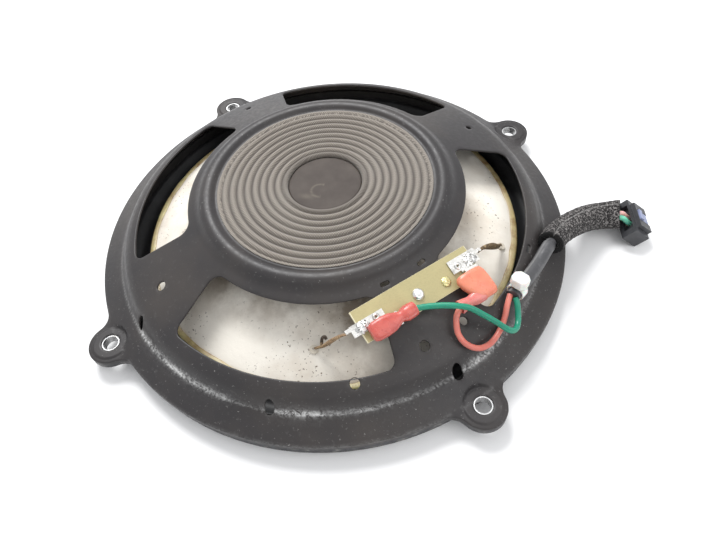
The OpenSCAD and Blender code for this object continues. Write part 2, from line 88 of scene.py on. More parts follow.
def area_light(name, place, target, size, power):
    data = bpy.data.lights.new(name, "AREA")
    data.shape, data.size, data.energy = "DISK", size, power
    light = add_object(name, data)
    light.location = place
    light.rotation_mode = "QUATERNION"
    light.rotation_quaternion = (Vector(target) - Vector(place)).to_track_quat("-Z", "Y")


def make_stage():
    world = bpy.data.worlds.new("studio")
    world.use_nodes = True
    background = world.node_tree.nodes["Background"]
    background.inputs["Color"].default_value = (0.97, 0.98, 1.0, 1)
    background.inputs["Strength"].default_value = 0.8
    SCENE.world = world
    SCENE.view_settings.view_transform = "Standard"
    area_light("key", (-0.35, 0.55, 0.95), (0, 0, 0), 0.55, 13)
    area_light("fill", (0.75, -0.25, 0.8), (0, 0, 0), 0.9, 3.0)
    bpy.ops.mesh.primitive_plane_add(size=8, location=(0, 0, 0))
    floor = bpy.context.object
    floor.name = "floor"
    floor.data.materials.append(plain("floor_white", (0.93, 0.93, 0.93), 0.6))


# ---- materials

# A Mix node's colour sockets share their names with its number and vector sockets, so they go by place.
MIX_A, MIX_B, MIX_RESULT = 6, 7, 2


class Look:
    """A material with a Principled shader, and short ways to drive its sockets with patterns."""

    def __init__(self, name, color, roughness, metallic=0.0, **sockets):
        self.material = bpy.data.materials.new(name)
        self.material.use_nodes = True
        self.tree = self.material.node_tree
        self.shader = self.tree.nodes["Principled BSDF"]
        self.feed(self.shader, Base_Color=(*color, 1), Roughness=roughness, Metallic=metallic, **sockets)
        self.place = self.node("ShaderNodeTexCoord").outputs["Object"]
        self.color = None
        self.height = None

    def node(self, kind, **settings):
        made = self.tree.nodes.new(kind)
        for key, value in settings.items():
            setattr(made, key, value)
        return made

    def link(self, source, socket):
        self.tree.links.new(source, socket)

    def feed(self, node, **values):
        """Sets a node's sockets to numbers, or links them to other nodes' outputs."""
        for key, value in values.items():
            socket = node.inputs[key.replace("_", " ")]
            if isinstance(value, bpy.types.NodeSocket):
                self.link(value, socket)
            else:
                socket.default_value = value
        return node

    def stretched(self, scale):
        """Object coordinates scaled per axis, for grain that runs one way."""
        mapping = self.feed(self.node("ShaderNodeMapping"), Vector=self.place, Scale=scale)
        return mapping.outputs["Vector"]

    def noise(self, size_mm, detail=4.0, rough=0.55, vector=None, distortion=0.0):
        made = self.feed(self.node("ShaderNodeTexNoise"), Vector=vector or self.place,
                         Scale=1000.0 / size_mm, Detail=detail, Roughness=rough, Distortion=distortion)
        return made.outputs["Fac"]

    def cells(self, size_mm):
        made = self.feed(self.node("ShaderNodeTexVoronoi"), Vector=self.place, Scale=1000.0 / size_mm)
        return made.outputs["Distance"]

    def threads(self, pitch_mm, turn_deg):
        """Parallel threads across the XY plane, as a wave from 0 to 1."""
        mapping = self.feed(self.node("ShaderNodeMapping"), Vector=self.place,
                            Rotation=(0, 0, radians(turn_deg)))
        wave = self.feed(self.node("ShaderNodeTexWave"), Vector=mapping.outputs["Vector"],
                         Scale=1000.0 / pitch_mm * 0.05 * TURN, Distortion=0.4)
        return wave.outputs["Fac"]

    def attribute(self, name):
        return self.node("ShaderNodeAttribute", attribute_name=name).outputs["Fac"]

    def math(self, operation, a, b=None, clamp=False):
        made = self.node("ShaderNodeMath", operation=operation, use_clamp=clamp)
        for socket, value in zip(made.inputs, (a, b)):
            if isinstance(value, (int, float)):
                socket.default_value = value
            elif value is not None:
                self.link(value, socket)
        return made.outputs["Value"]

    def span(self, value, low, high, to_low=0.0, to_high=1.0):
        made = self.feed(self.node("ShaderNodeMapRange"), Value=value, From_Min=low, From_Max=high,
                         To_Min=to_low, To_Max=to_high)
        return made.outputs["Result"]

    def paint(self, other, amount):
        """Lays another colour over the base colour where amount is 1."""
        mix = self.node("ShaderNodeMix", data_type="RGBA")
        self.link(amount, mix.inputs["Factor"])
        if self.color is None:
            mix.inputs[MIX_A].default_value = self.shader.inputs["Base Color"].default_value
        else:
            self.link(self.color, mix.inputs[MIX_A])
        mix.inputs[MIX_B].default_value = (*other, 1)
        self.color = mix.outputs[MIX_RESULT]

    def patches(self, other, size_mm, detail, low, high, most=1.0):
        """Lays another colour over the base in soft patches of noise."""
        self.paint(other, self.span(self.noise(size_mm, detail), low, high, 0, most))

    def raise_by(self, value, depth_mm):
        """Adds a height in millimetres to the bump."""
        scaled = self.math("MULTIPLY", value, depth_mm * MM)
        self.height = scaled if self.height is None else self.math("ADD", self.height, scaled)

    def both(self, a, b):
        """The product of two patterns, held between 0 and 1."""
        return self.math("MULTIPLY", a, b, clamp=True)

    def rough(self, value, low, high):
        self.feed(self.shader, Roughness=self.span(value, 0.3, 0.7, low, high))

    def done(self):
        if self.color is not None:
            self.feed(self.shader, Base_Color=self.color)
        if self.height is not None:
            bump = self.feed(self.node("ShaderNodeBump"), Distance=1.0, Strength=1.0, Height=self.height)
            self.feed(self.shader, Normal=bump.outputs["Normal"])
        return self.material


def plain(name, color, roughness):
    look = Look(name, color, roughness)
    look.rough(look.noise(40), roughness - 0.05, roughness + 0.05)
    return look.done()


def basket_paint():
    look = Look("basket_paint", (0.030, 0.0275, 0.0285), 0.46, Specular_IOR_Level=0.36)
    broad, fine = look.noise(45), look.noise(2.2, 6)
    look.paint((0.052, 0.045, 0.041), look.span(broad, 0.42, 0.72, 0, 0.8))
    look.paint((0.09, 0.088, 0.085), look.span(fine, 0.6, 0.8, 0, 0.6))
    # Pale grey streaks where the paint is worn along the crease, and a painted highlight along the top of
    # the flange's outer edge.
    streak = look.noise(2.6, 8, 0.75, distortion=1.2)
    look.paint((0.62, 0.62, 0.61), look.both(look.attribute("wear_and_edge_highlight"), look.span(streak, 0.4, 0.62)))
    grains = look.span(look.noise(1.1, 3, 0.7), 0.66, 0.72)
    look.paint((0.55, 0.54, 0.52), look.both(look.attribute("dust"), grains))
    look.raise_by(look.noise(0.9, 3), 0.03)
    look.raise_by(broad, 0.25)
    look.rough(fine, 0.36, 0.52)
    return look.done()


def cone_paper():
    look = Look("cone_paper", (0.9, 0.855, 0.77), 0.85)
    cloud = look.noise(38, 5, 0.6)
    look.paint((0.62, 0.54, 0.44), look.span(cloud, 0.48, 0.74, 0, 0.8))
    # Brown stains: partly dirt, partly painted shade towards the neck and painted shadow beside the spokes.
    stain = look.span(look.noise(16, 6, 0.65), 0.3, 0.6)
    look.paint((0.36, 0.3, 0.235), look.both(look.attribute("soil_and_shade"), stain))
    seep = look.span(look.noise(9, 5), 0.3, 0.7)
    look.paint((0.46, 0.31, 0.13), look.math("MULTIPLY", look.attribute("rim"), seep))
    specks = look.math("MULTIPLY", look.span(look.noise(1.3, 2, 0.5), 0.655, 0.7),
                       look.span(look.noise(24, 3), 0.46, 0.6))
    look.paint((0.14, 0.1, 0.07), specks)
    look.raise_by(look.noise(0.7, 4), 0.05)
    look.raise_by(look.noise(7, 4), 0.3)
    return look.done()


def spider_cloth():
    look = Look("spider_cloth", (0.19, 0.165, 0.14), 0.8, Sheen_Weight=0.2, Sheen_Roughness=0.5)
    warp, weft = look.threads(0.85, 32), look.threads(0.85, 122)
    checks = look.math("MULTIPLY", warp, weft)
    look.paint((0.41, 0.375, 0.325), look.span(checks, 0.25, 0.7, 0, 0.85))
    # Painted shade in the hollows between the corrugations and down the neck.
    look.paint((0.06, 0.05, 0.043), look.attribute("painted_valley_shade"))
    look.patches((0.22, 0.2, 0.17), 24, 4, 0.5, 0.8, 0.5)
    look.raise_by(warp, 0.1)
    look.raise_by(weft, 0.1)
    return look.done()


def cap_paper():
    look = Look("cap_paper", (0.058, 0.047, 0.041), 0.7, Specular_IOR_Level=0.3)
    look.patches((0.092, 0.077, 0.067), 14, 4, 0.4, 0.75, 0.8)
    look.paint((0.15, 0.13, 0.105), look.attribute("mark"))
    look.raise_by(look.noise(0.6, 3), 0.02)
    look.raise_by(look.noise(8, 3), 0.15)
    return look.done()


def dried_glue():
    look = Look("dried_glue", (0.52, 0.39, 0.19), 0.35, Subsurface_Weight=0.15)
    look.patches((0.3, 0.16, 0.06), 6, 5, 0.5, 0.72)
    look.patches((0.72, 0.62, 0.28), 17, 4, 0.5, 0.64, 0.8)
    look.raise_by(look.noise(1.5, 4), 0.25)
    return look.done()


def metal(name, color, roughness, grain_mm=0.6, dull=(0.3, 0.29, 0.27), depth=0.03):
    look = Look(name, color, roughness, 1.0)
    look.paint(dull, look.span(look.noise(4, 5, 0.65), 0.52, 0.72, 0, 0.75))
    look.raise_by(look.noise(grain_mm, 4), depth)
    look.rough(look.noise(2, 4), roughness - 0.08, roughness + 0.18)
    return look.done()


def solder_metal():
    look = Look("solder_metal", (0.78, 0.78, 0.76), 0.28, 1.0)
    look.paint((0.12, 0.105, 0.09), look.span(look.noise(1.6, 5, 0.7), 0.52, 0.62, 0, 0.9))
    look.raise_by(look.noise(1.2, 5), 0.35)
    return look.done()


def phenolic(name, color):
    look = Look(name, color, 0.42, Coat_Weight=0.15, Coat_Roughness=0.3)
    fibres = look.noise(1.0, 4, vector=look.stretched((1.0, 1.0, 4.0)))
    look.paint(tuple(c * 0.72 for c in color), look.span(fibres, 0.45, 0.7, 0, 0.35))
    look.paint(tuple(c * 1.18 for c in color), look.span(look.noise(12), 0.5, 0.75, 0, 0.6))
    look.raise_by(fibres, 0.03)
    return look.done()


def vinyl(name, color, dark, roughness=0.33, grain_mm=6.0, **sockets):
    look = Look(name, color, roughness, Subsurface_Weight=0.25, Subsurface_Scale=0.003, **sockets)
    look.paint(dark, look.span(look.noise(grain_mm, 4), 0.42, 0.75, 0, 0.8))
    look.raise_by(look.noise(1.5, 3), 0.05)
    look.rough(look.noise(3, 3), roughness - 0.06, roughness + 0.12)
    return look.done()


def moulded(name, color, roughness=0.45):
    look = Look(name, color, roughness)
    pale = tuple(min(1, c * 1.8 + 0.01) for c in color)
    look.patches(pale, 5, 5, 0.5, 0.75, 0.7)
    look.raise_by(look.noise(0.35, 3), 0.02)
    look.rough(look.noise(3, 4), roughness - 0.08, roughness + 0.12)
    return look.done()


def foam():
    look = Look("foam", (0.030, 0.027, 0.027), 0.9)
    pores = look.cells(0.85)
    web = look.math("MULTIPLY", look.span(pores, 0.4, 0.6), look.span(look.noise(1.2, 3), 0.44, 0.56))
    look.paint((0.22, 0.207, 0.2), web)
    look.paint((0.004, 0.004, 0.004), look.span(pores, 0.36, 0.22))
    look.paint((0.34, 0.33, 0.32), look.attribute("seam"))
    look.paint((0.006, 0.006, 0.006), look.attribute("cut"))
    look.raise_by(look.span(pores, 0.05, 0.6), 0.9)
    return look.done()


def tape():
    look = Look("tape", (0.062, 0.062, 0.066), 0.42)
    look.patches((0.13, 0.13, 0.135), 5, 5, 0.5, 0.75, 0.8)
    # A painted highlight along the edge of the tape's wrap.
    look.paint((0.24, 0.24, 0.24), look.attribute("seam"))
    look.raise_by(look.noise(4, 4), 0.35)
    return look.done()


def braid(name, color):
    look = Look(name, color, 0.6, 0.25)
    look.paint(tuple(c * 0.35 for c in color), look.span(look.cells(0.55), 0.3, 0.6))
    look.patches((0.55, 0.4, 0.22), 3, 4, 0.58, 0.7, 0.6)
    look.raise_by(look.cells(0.5), 0.25)
    return look.done()


def rubber(name, color, roughness=0.6):
    look = Look(name, color, roughness)
    look.patches(tuple(c * 2.4 for c in color), 10, 5, 0.5, 0.78, 0.7)
    look.raise_by(look.noise(0.8, 3), 0.03)
    return look.done()


# ---- mesh helpers

def add_mesh(name, points, faces, material, sharp_deg=None):
    mesh = bpy.data.meshes.new(name)
    mesh.from_pydata([tuple(p) for p in points], [], faces)
    mesh.materials.append(material)
    mesh.update()
    mesh.polygons.foreach_set("use_smooth", [True] * len(mesh.polygons))
    if sharp_deg:
        mesh.set_sharp_from_angle(angle=radians(sharp_deg))
    return add_object(name, mesh)


def skin_faces(rows, sides, closed=False, inward=False):
    """Faces between rows of points that each go round once; closed joins the last row to the first."""
    faces = []
    for i in range(rows if closed else rows - 1):
        j = (i + 1) % rows
        for k in range(sides):
            m = (k + 1) % sides
            a, b, c, d = i * sides + k, j * sides + k, j * sides + m, i * sides + m
            faces.append((a, d, c, b) if inward else (a, b, c, d))
    return faces


def mend(piece, work):
    """Runs one bmesh operation on a piece's mesh."""
    mesh = bmesh.new()
    mesh.from_mesh(piece.data)
    work(mesh)
    mesh.to_mesh(piece.data)
    mesh.free()


def settle(piece, body, slot, *nodes):
    """The piece rides on its body and stands for its CAD nodes, which it hides. Its slot is not used."""
    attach(piece, body)
    if nodes:
        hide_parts(*nodes)
    return piece


def attribute(piece, name, values):
    layer = piece.data.attributes.new(name, "FLOAT", "POINT")
    layer.data.foreach_set("value", np.asarray(values, np.float32))


def bevelled(piece, width_mm):
    modifier = piece.modifiers.new("edges", "BEVEL")
    modifier.width, modifier.segments = width_mm * MM, 2
    modifier.limit_method, modifier.angle_limit = "ANGLE", radians(35)
    modifier.harden_normals = True
    return piece


def lathe(name, profile, material, segments=256, wobble=None):
    """Turns a profile of (radius, height) in millimetres about Z. wobble(angle, r) moves a point up."""
    points = []
    for i in range(segments):
        a = TURN * i / segments
        for r, z in profile:
            lift = wobble(a, r) if wobble else 0.0
            points.append((r * cos(a) * MM, r * sin(a) * MM, (z + lift) * MM))
    piece = add_mesh(name, points, skin_faces(segments, len(profile), closed=True), material)
    if min(r for r, z in profile) == 0:
        mend(piece, lambda mesh: bmesh.ops.remove_doubles(mesh, verts=mesh.verts, dist=1e-7))
    return piece


def sheet_profile(top, thickness):
    """A closed profile round a thin sheet whose top surface is given, with rounded ends."""
    points = np.array(top, float)
    step = np.gradient(points, axis=0)
    step /= np.linalg.norm(step, axis=1)[:, None]
    down = np.stack([-step[:, 1], step[:, 0]], 1)
    down *= -np.sign(down[len(down) // 2, 1]) * thickness
    below = points + down
    nose = (points[-1] + below[-1]) / 2 + step[-1] * thickness * 0.5
    heel = (points[0] + below[0]) / 2 - step[0] * thickness * 0.5
    return [tuple(p) for p in [*points, nose, *below[::-1], heel]]


def curve_through(points, per_span):
    """Points of a Catmull-Rom curve through the given points."""
    pts = [Vector(p) for p in points]
    pts = [pts[0] * 2 - pts[1], *pts, pts[-1] * 2 - pts[-2]]
    made = []
    for i in range(1, len(pts) - 2):
        p0, p1, p2, p3 = pts[i - 1:i + 3]
        for k in range(per_span):
            t = k / per_span
            made.append(0.5 * (2 * p1 + (p2 - p0) * t + (2 * p0 - 5 * p1 + 4 * p2 - p3) * t * t
                               + (3 * p1 - p0 - 3 * p2 + p3) * t ** 3))
    return made + [pts[-2]]


def frames_along(path):
    """(point, side, up) along a path, with the up vector carried along from +Z."""
    up = Vector((0, 0, 1))
    made = []
    for i, p in enumerate(path):
        ahead = (path[min(i + 1, len(path) - 1)] - path[max(i - 1, 0)]).normalized()
        side = ahead.cross(up).normalized()
        up = side.cross(ahead).normalized()
        made.append((p, side, up))
    return made


def tube(name, path, section, material, sides):
    """A tube along a path. section(share of the length, angle from the top) gives the radius in metres."""
    points = []
    last = len(path) - 1
    for i, (p, side, up) in enumerate(frames_along(path)):
        for k in range(sides):
            a = TURN * k / sides
            r = section(i / last, a)
            points.append(p + (up * cos(a) + side * sin(a)) * r)
    faces = skin_faces(len(path), sides)
    faces += [list(range(sides)), list(range(last * sides + sides - 1, last * sides - 1, -1))]
    return add_mesh(name, points, faces, material, sharp_deg=60)


def loft(name, loops, material, sharp_deg=60):
    """Joins closed loops of equal length into a skin with flat ends."""
    sides = len(loops[0])
    points = [p for loop in loops for p in loop]
    faces = skin_faces(len(loops), sides, inward=True)
    faces += [list(range(sides - 1, -1, -1)), list(range((len(loops) - 1) * sides, len(loops) * sides))]
    return add_mesh(name, points, faces, material, sharp_deg=sharp_deg)


# ---- the terminal spoke's own frame

# The plate between the windows is a cone, from PLATE_IN at its inner edge down to PLATE_OUT.
PLATE_IN_R, PLATE_IN_Z = 71.3, 41.2
PLATE_OUT_R, PLATE_OUT_Z = 102.2, 28.6
PLATE_SLOPE = (PLATE_IN_Z - PLATE_OUT_Z) / (PLATE_OUT_R - PLATE_IN_R)
SPOKE_R = 79.0
SPOKE_Z = PLATE_OUT_Z + (PLATE_OUT_R - SPOKE_R) * PLATE_SLOPE
SPOKE = (Matrix.Rotation(radians(-45), 4, "Z")
         @ Matrix.Translation(Vector((SPOKE_R, 0, SPOKE_Z)) * MM)
         @ Matrix.Rotation(atan(PLATE_SLOPE), 4, "Y"))
BOARD_T, GAP = 1.6, 0.05
LUG_Z = BOARD_T + 2 * GAP
BLADE_Z = LUG_Z + 3.2


def spoke(x, y, z):
    return SPOKE @ (Vector((x, y, z)) * MM)


# ---- cords, which come before the rest

TAPE_ROUTE = mm([(98, -44.5, 31), (100.2, -40.1, 30.9), (103.2, -34.6, 30.4), (106.2, -28.3, 29.5),
                 (109.3, -21, 28.2), (112, -14, 28.2), (114.5, -7.8, 27.4)])
FOAM_ROUTE = mm([(114.5, -7.8, 27.4), (117.4, -0.6, 24.8), (120.3, 5, 22.2), (123.7, 10, 20.4),
                 (127.4, 14.8, 18.4), (131.4, 20, 15.5), (135.8, 25, 12.6), (140.4, 28.8, 10.3),
                 (145, 30.6, 9.8), (149.4, 31.2, 10.6), (153, 31, 11.8)])
GREEN_ROUTE = mm([(51.3, -69.5, 41.2), (54.7, -66.1, 41.2), (58.7, -63.9, 41.2), (63.2, -62.4, 41.2),
                  (68.7, -61.3, 41.4), (74.3, -60.7, 41.5), (79.5, -60.3, 40.6), (86.3, -60.5, 36.5),
                  (91.8, -60.9, 33), (96.2, -61.1, 29.5), (99.2, -60.2, 26.8), (101.2, -57.6, 25.2),
                  (101.7, -53.9, 25), (101.3, -50.6, 26.6), (100.4, -47.6, 29.4), (99.3, -45.1, 31)])
RED_ROUTE = mm([(79.3, -55.1, 37.2), (75.7, -58.7, 37.2), (74.3, -62.3, 36.2), (74.7, -65.9, 34.4),
                (76, -69.1, 32.2), (78.8, -71.4, 30), (82.5, -72, 27.8), (86.5, -70.6, 25.6),
                (90.3, -66.9, 23.9), (93.1, -62, 23.9), (94.8, -57.2, 25.1), (95.7, -52.8, 27),
                (96, -48.8, 29.6), (96.75, -43.9, 31)])
WIRE_R, TAPE_R, FOAM_R = 1.35 * MM, 3.4 * MM, 6.1 * MM


def make_wires():
    """The two insulated wires, held by the terminals at one end and by the taped bundle at the other."""
    green = vinyl("wire_green", (0.012, 0.27, 0.165), (0.006, 0.17, 0.11), 0.28, 12)
    red = vinyl("wire_red", (0.64, 0.2, 0.155), (0.48, 0.115, 0.09), 0.32, 12)
    for color, route, look in (("green", GREEN_ROUTE, green), ("red", RED_ROUTE, red)):
        piece = tube(f"{color}_wire_skin", curve_through(route, 6), lambda share, a: WIRE_R, look, 20)
        settle(piece, "speaker", f"wire_{color}", f"{color}_wire")


def make_pigtail():
    """The taped bundle and the foam wrap on it, one free cord from the nylon tie to the connector."""
    core = curve_through([*TAPE_ROUTE, *FOAM_ROUTE[1:]], 6)

    def flattened(share, a):
        near = 1.0 if share < 0.36 else 0.85
        fold = 0.1 * exp(-((a - 5.6) / 0.2) ** 2)
        return TAPE_R * near * (1 + 0.04 * cos(2 * a) - fold)

    bundle = tube("tape_bundle", core, flattened, tape(), 32)
    # A painted highlight along the wrap's edge, on its fold.
    tape_edge_highlight = [0.8 * exp(-((k * TURN / 32 - 5.6) / 0.22) ** 2) for k in range(32)]
    attribute(bundle, "seam", tape_edge_highlight * len(core))
    settle(bundle, "speaker", "tape_cloth", "tape_sleeve")
    wrap = make_foam()
    return bundle, wrap, core


def make_foam():
    """The slit foam sleeve: its outer surface, then back along its bore, which the tape fills."""
    sides = 96
    points, seams, cuts = [], [], []
    rings = frames_along(curve_through(FOAM_ROUTE, 14))
    total = len(rings) - 1
    loops = [(i, 1.0) for i in range(total + 1)]
    loops += [(total, 0.8), (total, 0.5), *[(i, 0.5) for i in range(total, -1, -4)], (0, 0.5), (0, 0.8)]
    for i, share in loops:
        p, side, up = rings[i]
        for k in range(sides):
            a = TURN * k / sides
            from_top = (a + pi) % TURN - pi
            seam = exp(-(from_top / 0.1) ** 2)
            r = FOAM_R * share * (1 - 0.1 * seam - 0.3 * seam * exp(-i / 6))
            spread = 0.3 * (i / total) ** 1.2
            q = p + (up * cos(a) * (0.94 + spread) + side * sin(a) * (1.03 + spread)) * r
            if share > 0.6:
                rough = noise.noise(q * 900) * 0.3 + noise.noise(q * 2100) * 0.16
                q += (q - p).normalized() * rough * MM * (1 if share == 1 else 0.5)
            points.append(q)
            seams.append(0.75 * exp(-(from_top / 0.045) ** 2) if share == 1 else 0)
            cuts.append(0.0 if share == 1 and i > 1 else 1.0)
    wrap = add_mesh("foam_tube", points, skin_faces(len(loops), sides, closed=True), foam())
    attribute(wrap, "seam", seams)
    attribute(wrap, "cut", cuts)
    return settle(wrap, "speaker", "foam_sleeve", "foam_wrap")


# The connector's own frame: X is the direction it plugs in, and it leans on that end.
CONNECTOR = (Matrix.Translation(mm([(153, 29, 7.0707)])[0]) @ Matrix.Rotation(radians(10), 4, "Z")
             @ Matrix.Rotation(radians(40), 4, "Y"))


def make_connector_wires():
    """The pink and the mint wire, from the end of the foam into their cavities."""
    made = []
    pink, mint = ((0.86, 0.5, 0.47), (0.76, 0.38, 0.36)), ((0.2, 0.68, 0.47), (0.13, 0.52, 0.36))
    for name, slot, side, colors in (("red", "wire_pink", 1, pink), ("green", "wire_mint", -1, mint)):
        route = [(-5.5, 1.2, 3.0), (-3.6, 1.7, 4.6), (-1.8, 2.0, 5.0), (0.4, 2.1, 4.7), (3.6, 2.1, 4.6)]
        path = curve_through([CONNECTOR @ (Vector((x, y * side, z)) * MM) for x, y, z in route], 8)
        look = vinyl("pigtail_" + name, *colors, 0.3, 5)
        piece = tube(f"pigtail_{name}_skin", path, lambda share, a: WIRE_R, look, 20)
        made.append(settle(piece, "speaker", slot, f"pigtail_wire_{name}"))
    return made


# ---- basket

SHEET_T = 1.2
SEAT_R, SEAT_Z = 53.3, 45.7
# The basket's top surface as (radius, height), from the spider's seat out to the flange.
BASKET_SKIN = [(SEAT_R, SEAT_Z), (56.4, SEAT_Z), (56.75, 46.5), (57.8, 47.3), (59.4, 47.8), (61.6, 47.6),
               (63.6, 46.5), (65.2, 44.4), (67, 43), (PLATE_IN_R, PLATE_IN_Z), (PLATE_OUT_R, PLATE_OUT_Z),
               (105.6, 27.1), (108.6, 25), (110.6, 22.2), (112, 19.3), (113.2, 17.7), (114.8, 16.7),
               (124.3, 11.8), (125, 11.3), (126, 11.2)]
EAR_ANGLES = [45, 135, 225, 315]
EAR_PITCH_R, EAR_R, EAR_FILLET = 128.4, 11.0, 9.0
PAD_Z, PAD_R, EAR_HOLE_R = 11.8, 8.8, 4.35
FLANGE_R, FLANGE_Z = 125.0, 9.0
# The rounded edge of an opening stands this far inside its outline: large openings, then small ones.
RIM = SHEET_T / 2
NICK_RIM = 0.3
# Small openings: holes as (angle, distance from the axis, radius), slots with a width and a length.
PLATE_HOLES = [(45, 94.4, 1.6), (135, 94.4, 1.6), (225, 94.2, 2.2), (309.3, 98.5, 2.3), (322, 98.5, 1.8),
               (290, 104.3, 2.2), (270, 112.2, 2.2), (228, 111, 2.2), (314, 112.5, 2.5)]
PLATE_SLOTS = [(306.8, 68.6, 1.6, 4.4), (323.8, 68.6, 1.6, 4.4), (353, 105.2, 1.6, 5)]


def polar(r, angle_deg):
    return r * cos(radians(angle_deg)), r * sin(radians(angle_deg))


def skin_height(r):
    radii, heights = zip(*BASKET_SKIN)
    return sum(np.interp(r + d, radii, heights) for d in (-0.3, -0.15, 0, 0.15, 0.3)) / 5


def basket_height(x, y):
    """Height of the basket's top surface over a point of the plan, in millimetres."""
    z = skin_height(np.hypot(x, y))
    for a in EAR_ANGLES:
        ear_x, ear_y = polar(EAR_PITCH_R, a)
        away = np.hypot(x - ear_x, y - ear_y)
        share = np.clip((PAD_R + 0.5 - away) / 0.9, 0, 1)
        share = share * share * (3 - 2 * share)
        z = z * (1 - share) + PAD_Z * share
    return z


def turned(loop, angle_deg):
    c, s = cos(radians(angle_deg)), sin(radians(angle_deg))
    return [(x * c - y * s, x * s + y * c) for x, y in loop]


def arc(cx, cy, r, a0, a1, count):
    return [(cx + r * cos(a0 + (a1 - a0) * k / count), cy + r * sin(a0 + (a1 - a0) * k / count))
            for k in range(count + 1)]


def circle(cx, cy, r, count):
    return arc(cx, cy, r, 0, TURN, count)[:-1]


def window_loop():
    """A window on the X axis: two arcs, two straight sides and four round corners."""
    out_r, in_r, out_fillet, in_fillet = PLATE_OUT_R + RIM, PLATE_IN_R - RIM, 5.0, 6.5
    half, apex = radians(26.6), -16 - RIM / sin(radians(26.6))

    def corner(r, fillet):
        base = apex + fillet / sin(half)
        b = base * cos(half)
        s = -b + sqrt(b * b - base * base + r * r)
        return base + s * cos(half), s * sin(half)

    ox, oy = corner(out_r - out_fillet, out_fillet)
    ix, iy = corner(in_r + in_fillet, in_fillet)
    out_a, in_a = atan2(oy, ox), atan2(iy, ix)
    side = half + pi / 2
    upper = arc(ox, oy, out_fillet, out_a, side, 10)
    inner = arc(ix, iy, in_fillet, side, pi + in_a, 10)
    loop = arc(0, 0, out_r, -out_a, out_a, 60)[:-1] + upper + inner
    loop += arc(0, 0, in_r, in_a, -in_a, 40)[1:-1]
    mirror = [(x, -y) for x, y in reversed(upper + inner)]
    return loop + mirror


def outer_loop():
    """The flange's round with four ears and their concave fillets."""
    r = FLANGE_R - RIM
    ear_r, fillet = EAR_R - RIM, EAR_FILLET + RIM
    reach = r + fillet
    fa = acos((reach ** 2 + EAR_PITCH_R ** 2 - (ear_r + fillet) ** 2) / (2 * reach * EAR_PITCH_R))
    fx, fy = reach * cos(fa), reach * sin(fa)
    swing = atan2(fy, fx - EAR_PITCH_R)
    made = []
    for a in EAR_ANGLES:
        lower = arc(fx, -fy, fillet, pi - fa, -swing + pi, 10)
        nose = arc(EAR_PITCH_R, 0, ear_r, -swing, swing, 36)
        ear = [*lower, *nose[1:-1], *[(x, -y) for x, y in reversed(lower)]]
        made += turned(ear, a)
        rest = arc(0, 0, r, radians(a) + fa, radians(a + 90) - fa, 90)
        made += rest[1:-1]
    return made


def basket_loops():
    """The outer outline and every opening, each marked as outer, hole or nick (a small hole)."""
    loops = [(outer_loop(), "outer")]
    loops += [(turned(window_loop(), a), "hole") for a in (0, 90, 180, 270)]
    for a in EAR_ANGLES:
        loops.append((circle(*polar(EAR_PITCH_R, a), EAR_HOLE_R + RIM, 40), "hole"))
    for a, r, hole_r in PLATE_HOLES:
        loops.append((circle(*polar(r, a), hole_r + NICK_RIM, 20), "nick"))
    for a, r, w, length in PLATE_SLOTS:
        w, length = w / 2 + NICK_RIM, length / 2 - w / 2
        ends = arc(r, length, w, 0, pi, 8) + arc(r, -length, w, pi, TURN, 8)
        loops.append((turned(ends, a), "nick"))
    loops.append((circle(0, 0, SEAT_R + RIM, 150), "hole"))
    return loops


def fill_points(border):
    """Points inside the plan that let the sheet follow its curves, kept clear of the outlines."""
    radii = [*np.arange(54.6, 70, 0.75), *np.arange(71.5, 102, 2.4), *np.arange(102.5, 115.6, 0.7),
             118, 120.5, 122.6, 123.6]
    fill = []
    for n, r in enumerate(radii):
        count = int(TURN * r / (1.7 if r < 103 else 1.9))
        a = (np.arange(count) + 0.5 * (n % 2)) * TURN / count
        fill.append(np.stack([r * np.cos(a), r * np.sin(a)], 1))
    for ear in EAR_ANGLES:
        cx, cy = polar(EAR_PITCH_R, ear)
        for r in (5.6, 6.8, 7.8, 8.3, 8.7, 9.1, 9.5):
            a = np.arange(36) * TURN / 36
            fill.append(np.stack([cx + r * np.cos(a), cy + r * np.sin(a)], 1))
    tree = KDTree(len(border))
    for i, (x, y) in enumerate(border):
        tree.insert((x, y, 0), i)
    tree.balance()
    return [tuple(p) for p in np.vstack(fill) if tree.find((p[0], p[1], 0))[2] > 0.55]


def basket_plan(loops):
    """The plan cut into triangles: its points, its triangles and each outline's own points."""
    points, edges, starts = [], [], []
    for loop, _ in loops:
        base = len(points)
        points += loop
        edges += [(base + i, base + (i + 1) % len(loop)) for i in range(len(loop))]
        starts.append(base)
    every = [Vector(p) for p in [*points, *fill_points(points)]]
    flat, _, faces, origin, *_ = delaunay_2d_cdt(every, edges, [], 0, 1e-6)
    flat = np.array([tuple(p) for p in flat])
    made_from = {old: new for new, olds in enumerate(origin) for old in olds}
    ends = [[made_from[base + i] for i in range(len(loop))] for base, (loop, _) in zip(starts, loops)]
    tris = np.array([f for f in faces if len(f) == 3])
    mids = flat[tris].mean(1)
    keep = in_loop(mids, loops[0][0])
    for loop, _ in loops[1:]:
        keep &= ~in_loop(mids, loop)
    return flat, tris[keep], ends


def basket_normals(x, y):
    e = 0.05
    slope_x = (basket_height(x + e, y) - basket_height(x - e, y)) / (2 * e)
    slope_y = (basket_height(x, y + e) - basket_height(x, y - e)) / (2 * e)
    normal = np.stack([-slope_x, -slope_y, np.ones(len(x))], 1)
    return normal / np.linalg.norm(normal, axis=1)[:, None]


